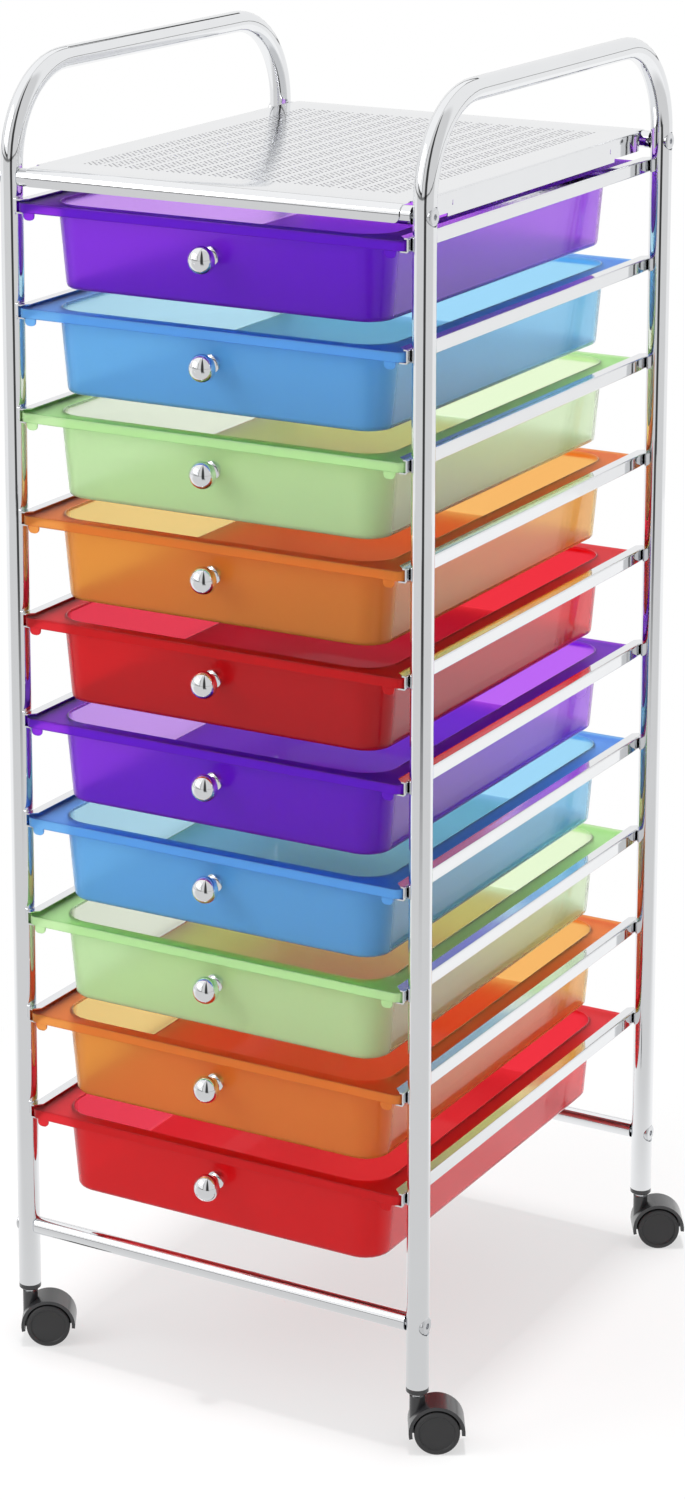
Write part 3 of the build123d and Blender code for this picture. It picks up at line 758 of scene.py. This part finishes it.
bmesh.ops.remove_doubles(sheet, verts=sheet.verts, dist=HAIR)
bmesh.ops.recalc_face_normals(sheet, faces=sheet.faces)
if max(sheet.faces, key=lambda face: face.calc_area()).normal.z < 0.0:
    bmesh.ops.reverse_faces(sheet, faces=sheet.faces)
bmesh.ops.solidify(sheet, geom=sheet.faces, thickness=SHEET)
cut_layer = sheet.loops.layers.float.new(CUT_SHARE)
for face in sheet.faces:
    spot = face.calc_center_median()
    in_field = abs(spot.x) < half_field.x and abs(spot.y) < half_field.y
    for loop in face.loops:
        loop[cut_layer] = 1.0 if in_field and abs(face.normal.z) < STEEP else 0.0
top_middle = (*((shelf_low + shelf_high) / 2.0)[:2], shelf_high.z)
bmesh.ops.translate(sheet, vec=top_middle, verts=sheet.verts)
open_edges = [edge for edge in sheet.edges if not edge.is_manifold]
triangles = sum(len(face.verts) - 2 for face in sheet.faces)
shelf = add_piece("perforated_shelf", to_mesh(sheet, "perforated_shelf"), sheet_chrome, "frame",
                  "top_shelf")
points = [vert.co for vert in shelf.data.vertices]
print("shelf triangles:", triangles, "open edges:", len(open_edges))
print("shelf box:", [[round(f(p[i] for p in points), 5) for i in range(3)] for f in (min, max)])
print("built box:", [[round(v, 5) for v in corner] for corner in (shelf_low, shelf_high)])

# %% [markdown]
# ## The studio
#
# Chrome and clear plastic show the room more than themselves. The room is a pale tent with one large soft
# box on the upper left, held in a frame that is black at the front and the back and grey between. The tent
# gives the chrome its light grey, a little darker on the camera's side, and the box its white highlights.
# The frame and a dark gap at the camera draw the crisp lines along rolls, bends and tubes. Only rays that
# reflect see this room: the camera, and rays that pass through plastic, see plain white, and matt surfaces
# get an even, soft light. A picture of a real studio could light the cart too, but its lines would fall
# where they like.

# %% Directions and kinds of rays
CAMERA_AZIMUTH = 29.67
GAP_HALF, GAP_SOFT = radians(8.0), radians(6.0)


def ease(wire, value, start, end, low=0.0, high=1.0):
    """A smooth step from low to high as the value goes from start to end."""
    return wire.node("ShaderNodeMapRange", {"interpolation_type": "SMOOTHSTEP"}, {
        "Value": value, "From Min": start, "From Max": end, "To Min": low, "To Max": high})


def parts_of(wire, vector):
    """The three components of a vector."""
    return [wire.node("ShaderNodeSeparateXYZ", {}, {"Vector": vector}, output=name) for name in "XYZ"]


def toward_camera(x, y):
    """How far a direction or a place lies towards the camera."""
    return x * sin(radians(CAMERA_AZIMUTH)) - y * cos(radians(CAMERA_AZIMUTH))


def camera_gap(wire, x, y):
    """1 everywhere but in the dark wedge towards the camera, where it falls to 0."""
    bearing = wire.maths("ARCTAN2", x, -1.0 * y) - radians(CAMERA_AZIMUTH)
    return ease(wire, wire.maths("ABSOLUTE", bearing), GAP_HALF, GAP_HALF + GAP_SOFT)


def ray_kinds(wire):
    """Wires that are 1 for camera rays, mirror rays and rays that passed through plastic."""
    return [wire.node("ShaderNodeLightPath", output=f"Is {kind} Ray")
            for kind in ("Camera", "Glossy", "Transmission")]


print("camera azimuth, degrees:", CAMERA_AZIMUTH)

# %% The tent and its soft box
WHITE = (1.0, 1.0, 1.0, 1.0)
DARK = 0.05
AMBIENT = 0.66
TENT_LEVEL, TENT_FRONT = 0.86, 0.65
FRONT_FROM, FRONT_TO = 0.0, 0.2
HORIZON, HORIZON_LEVEL = 0.018, 0.25
BOX_LEVEL, BOX_SOFT = 1.0, 0.008
BOX_LEFT, BOX_RIGHT, BOX_FRONT = -0.97, -0.14, -0.9
BOX_FRONT_HEIGHT, BOX_RISE = 0.09, 0.25
FRAME_WIDTH, FRAME_SOFT = 0.05, 0.015
FRAME_PALE, PALE_TO, BLACK_FROM = 0.6, 0.6, 0.72

world = bpy.data.worlds.new("tent")
bpy.context.scene.world = world
world.use_nodes = True
world.node_tree.nodes.clear()
sky = Wire(world.node_tree)
x, y, z = parts_of(sky, sky.node("ShaderNodeTexCoord", output="Generated"))
inside = sky.maths("MINIMUM", x - BOX_LEFT, BOX_RIGHT - x)
inside = sky.maths("MINIMUM", inside, z - (y - BOX_FRONT) * BOX_RISE - BOX_FRONT_HEIGHT)
framed = ease(sky, inside, -FRAME_WIDTH - FRAME_SOFT, -FRAME_WIDTH)
lit = ease(sky, inside, -BOX_SOFT, BOX_SOFT)
tent_level = ease(sky, toward_camera(x, y), FRONT_FROM, FRONT_TO, TENT_LEVEL, TENT_FRONT)
horizon_level = ease(sky, sky.maths("ABSOLUTE", z), HORIZON / 2.0, HORIZON, HORIZON_LEVEL)
tent_part = (tent_level * camera_gap(sky, x, y) + DARK) * horizon_level
frame_level = ease(sky, sky.maths("ABSOLUTE", y), PALE_TO, BLACK_FROM, FRAME_PALE, DARK)
room = tent_part * (1.0 - framed) + frame_level * (framed - lit) + BOX_LEVEL * lit
seen, mirrored, through = ray_kinds(sky)
white = sky.maths("MAXIMUM", seen, through)
matt = (1.0 - white) * (1.0 - mirrored) * AMBIENT
level = white + (1.0 - white) * mirrored * room + matt
tent = sky.node("ShaderNodeBackground", {}, {"Color": WHITE, "Strength": level})
sky.node("ShaderNodeOutputWorld", {}, {"Surface": tent})
print("tent level:", TENT_LEVEL, "ambient:", AMBIENT)

# %% [markdown]
# ## The floor
#
# The cart stands on a white sweep. A matt floor alone comes out grey, and a glowing one takes no shadow,
# so the two are mixed: the share that glows grows with the distance, until floor and tent are one white.
# Upright tubes mirror mostly floor, so for mirror rays the floor is light grey towards the camera and white
# behind the cart. A dark wedge carries on the tent's gap and fades out before it comes near the cart.

# %% A white sweep
FLOOR_RADIUS, FLOOR_SIDES = 2.6, 96
FLOOR_WHITE = (0.9, 0.9, 0.9)
GLOW_NEAR, GLOW_FROM, GLOW_TO = 0.57, 0.3, 0.6
MIRRORED_FRONT, MIRRORED_SPAN = 0.69, 0.3
WEDGE_FROM, WEDGE_TO = 1.0, 2.3

floor_work = bmesh.new()
bmesh.ops.create_circle(floor_work, cap_ends=True, segments=FLOOR_SIDES, radius=FLOOR_RADIUS)
floor = bpy.data.objects.new("floor", to_mesh(floor_work, "floor"))
bpy.context.scene.collection.objects.link(floor)

sweep, wire = new_finish("white_sweep")
place = place_on(wire)
x, y = parts_of(wire, place)[:2]
distance = wire.node("ShaderNodeVectorMath", {"operation": "LENGTH"}, {0: place}, output="Value")
seen, mirrored, through = ray_kinds(wire)
front_level = ease(wire, toward_camera(x, y), -MIRRORED_SPAN, MIRRORED_SPAN, 1.0, MIRRORED_FRONT)
wedge = wire.maths("MAXIMUM", camera_gap(wire, x, y), 1.0 - ease(wire, distance, WEDGE_FROM, WEDGE_TO))
mirror_level = front_level * wedge + DARK * (1.0 - wedge)
glow_level = mirror_level * mirrored + 1.0 - mirrored
far = ease(wire, distance, GLOW_FROM, GLOW_TO, GLOW_NEAR, 1.0)
glow_share = wire.maths("MAXIMUM", far * wire.maths("MAXIMUM", seen, through), mirrored)
matt = wire.node("ShaderNodeBsdfDiffuse", {}, {"Color": opaque(FLOOR_WHITE)})
unlit, full = [wire.node("ShaderNodeEmission", {}, {"Color": WHITE, "Strength": power})
               for power in (0.0, 1.0)]
show(wire, blend(wire, glow_share, matt, blend(wire, glow_level, unlit, full)))
floor.data.materials.append(sweep)
print("floor radius:", FLOOR_RADIUS)

# %% [markdown]
# ## Lamps
#
# A large soft box high on the left gives the matt pieces their shape. A sun lamp straight above, softened
# by a few degrees, puts the cart's shadow on the floor beneath it. It is left out of mirror rays, because
# it would leave a hard spot on every tube.

# %% A soft box and a skylight
SOFT_BOX_PLACE = Vector((-1.6, -1.7, 1.9))
SOFT_BOX_SIZE = 1.3
SOFT_BOX_WATTS = 22.0
SKYLIGHT_STRENGTH = 1.5
SKYLIGHT_SOFT = radians(4.0)
CART_MIDDLE = Vector((0.0, 0.0, 0.5))


def add_lamp(name, kind, energy):
    """A lamp in the scene; a new one points straight down."""
    lamp = bpy.data.lights.new(name, kind)
    lamp.energy = energy
    holder = bpy.data.objects.new(name, lamp)
    bpy.context.scene.collection.objects.link(holder)
    return holder


soft_box = add_lamp("left_soft_box", "AREA", SOFT_BOX_WATTS)
soft_box.data.shape = "SQUARE"
soft_box.data.size = SOFT_BOX_SIZE
soft_box.location = SOFT_BOX_PLACE
soft_box.rotation_mode = "QUATERNION"
soft_box.rotation_quaternion = (CART_MIDDLE - SOFT_BOX_PLACE).to_track_quat("-Z", "Y")

skylight = add_lamp("skylight", "SUN", SKYLIGHT_STRENGTH)
skylight.data.angle = SKYLIGHT_SOFT
skylight.visible_glossy = False
print("lamps:", [lamp.name for lamp in bpy.data.lights])

# %% [markdown]
# ## The camera
#
# The photographed view looks down a little from the front right, from about two and a half metres. The
# upright lines stay nearly parallel because the camera is shifted down instead of tilted all the way.

# %% A camera at the photographed angle
IMAGE_HEIGHT = 1500.0
FOCAL_PIXELS = 3700.0
SENSOR_MM = 36.0
CAMERA_ELEVATION = 11.96
CAMERA_PLACE = (1.2553, -2.2776, 1.286)
SHIFT = (0.0216, -0.27)

lens = bpy.data.cameras.new("camera")
lens.sensor_width = SENSOR_MM
lens.lens = FOCAL_PIXELS * SENSOR_MM / IMAGE_HEIGHT
lens.shift_x, lens.shift_y = SHIFT
camera = bpy.data.objects.new("camera", lens)
camera.location = CAMERA_PLACE
camera.rotation_euler = (radians(90.0 - CAMERA_ELEVATION), 0.0, radians(CAMERA_AZIMUTH))
bpy.context.scene.collection.objects.link(camera)
bpy.context.scene.camera = camera
bpy.context.scene.view_settings.view_transform = "Standard"
print("lens, mm:", round(lens.lens, 1))
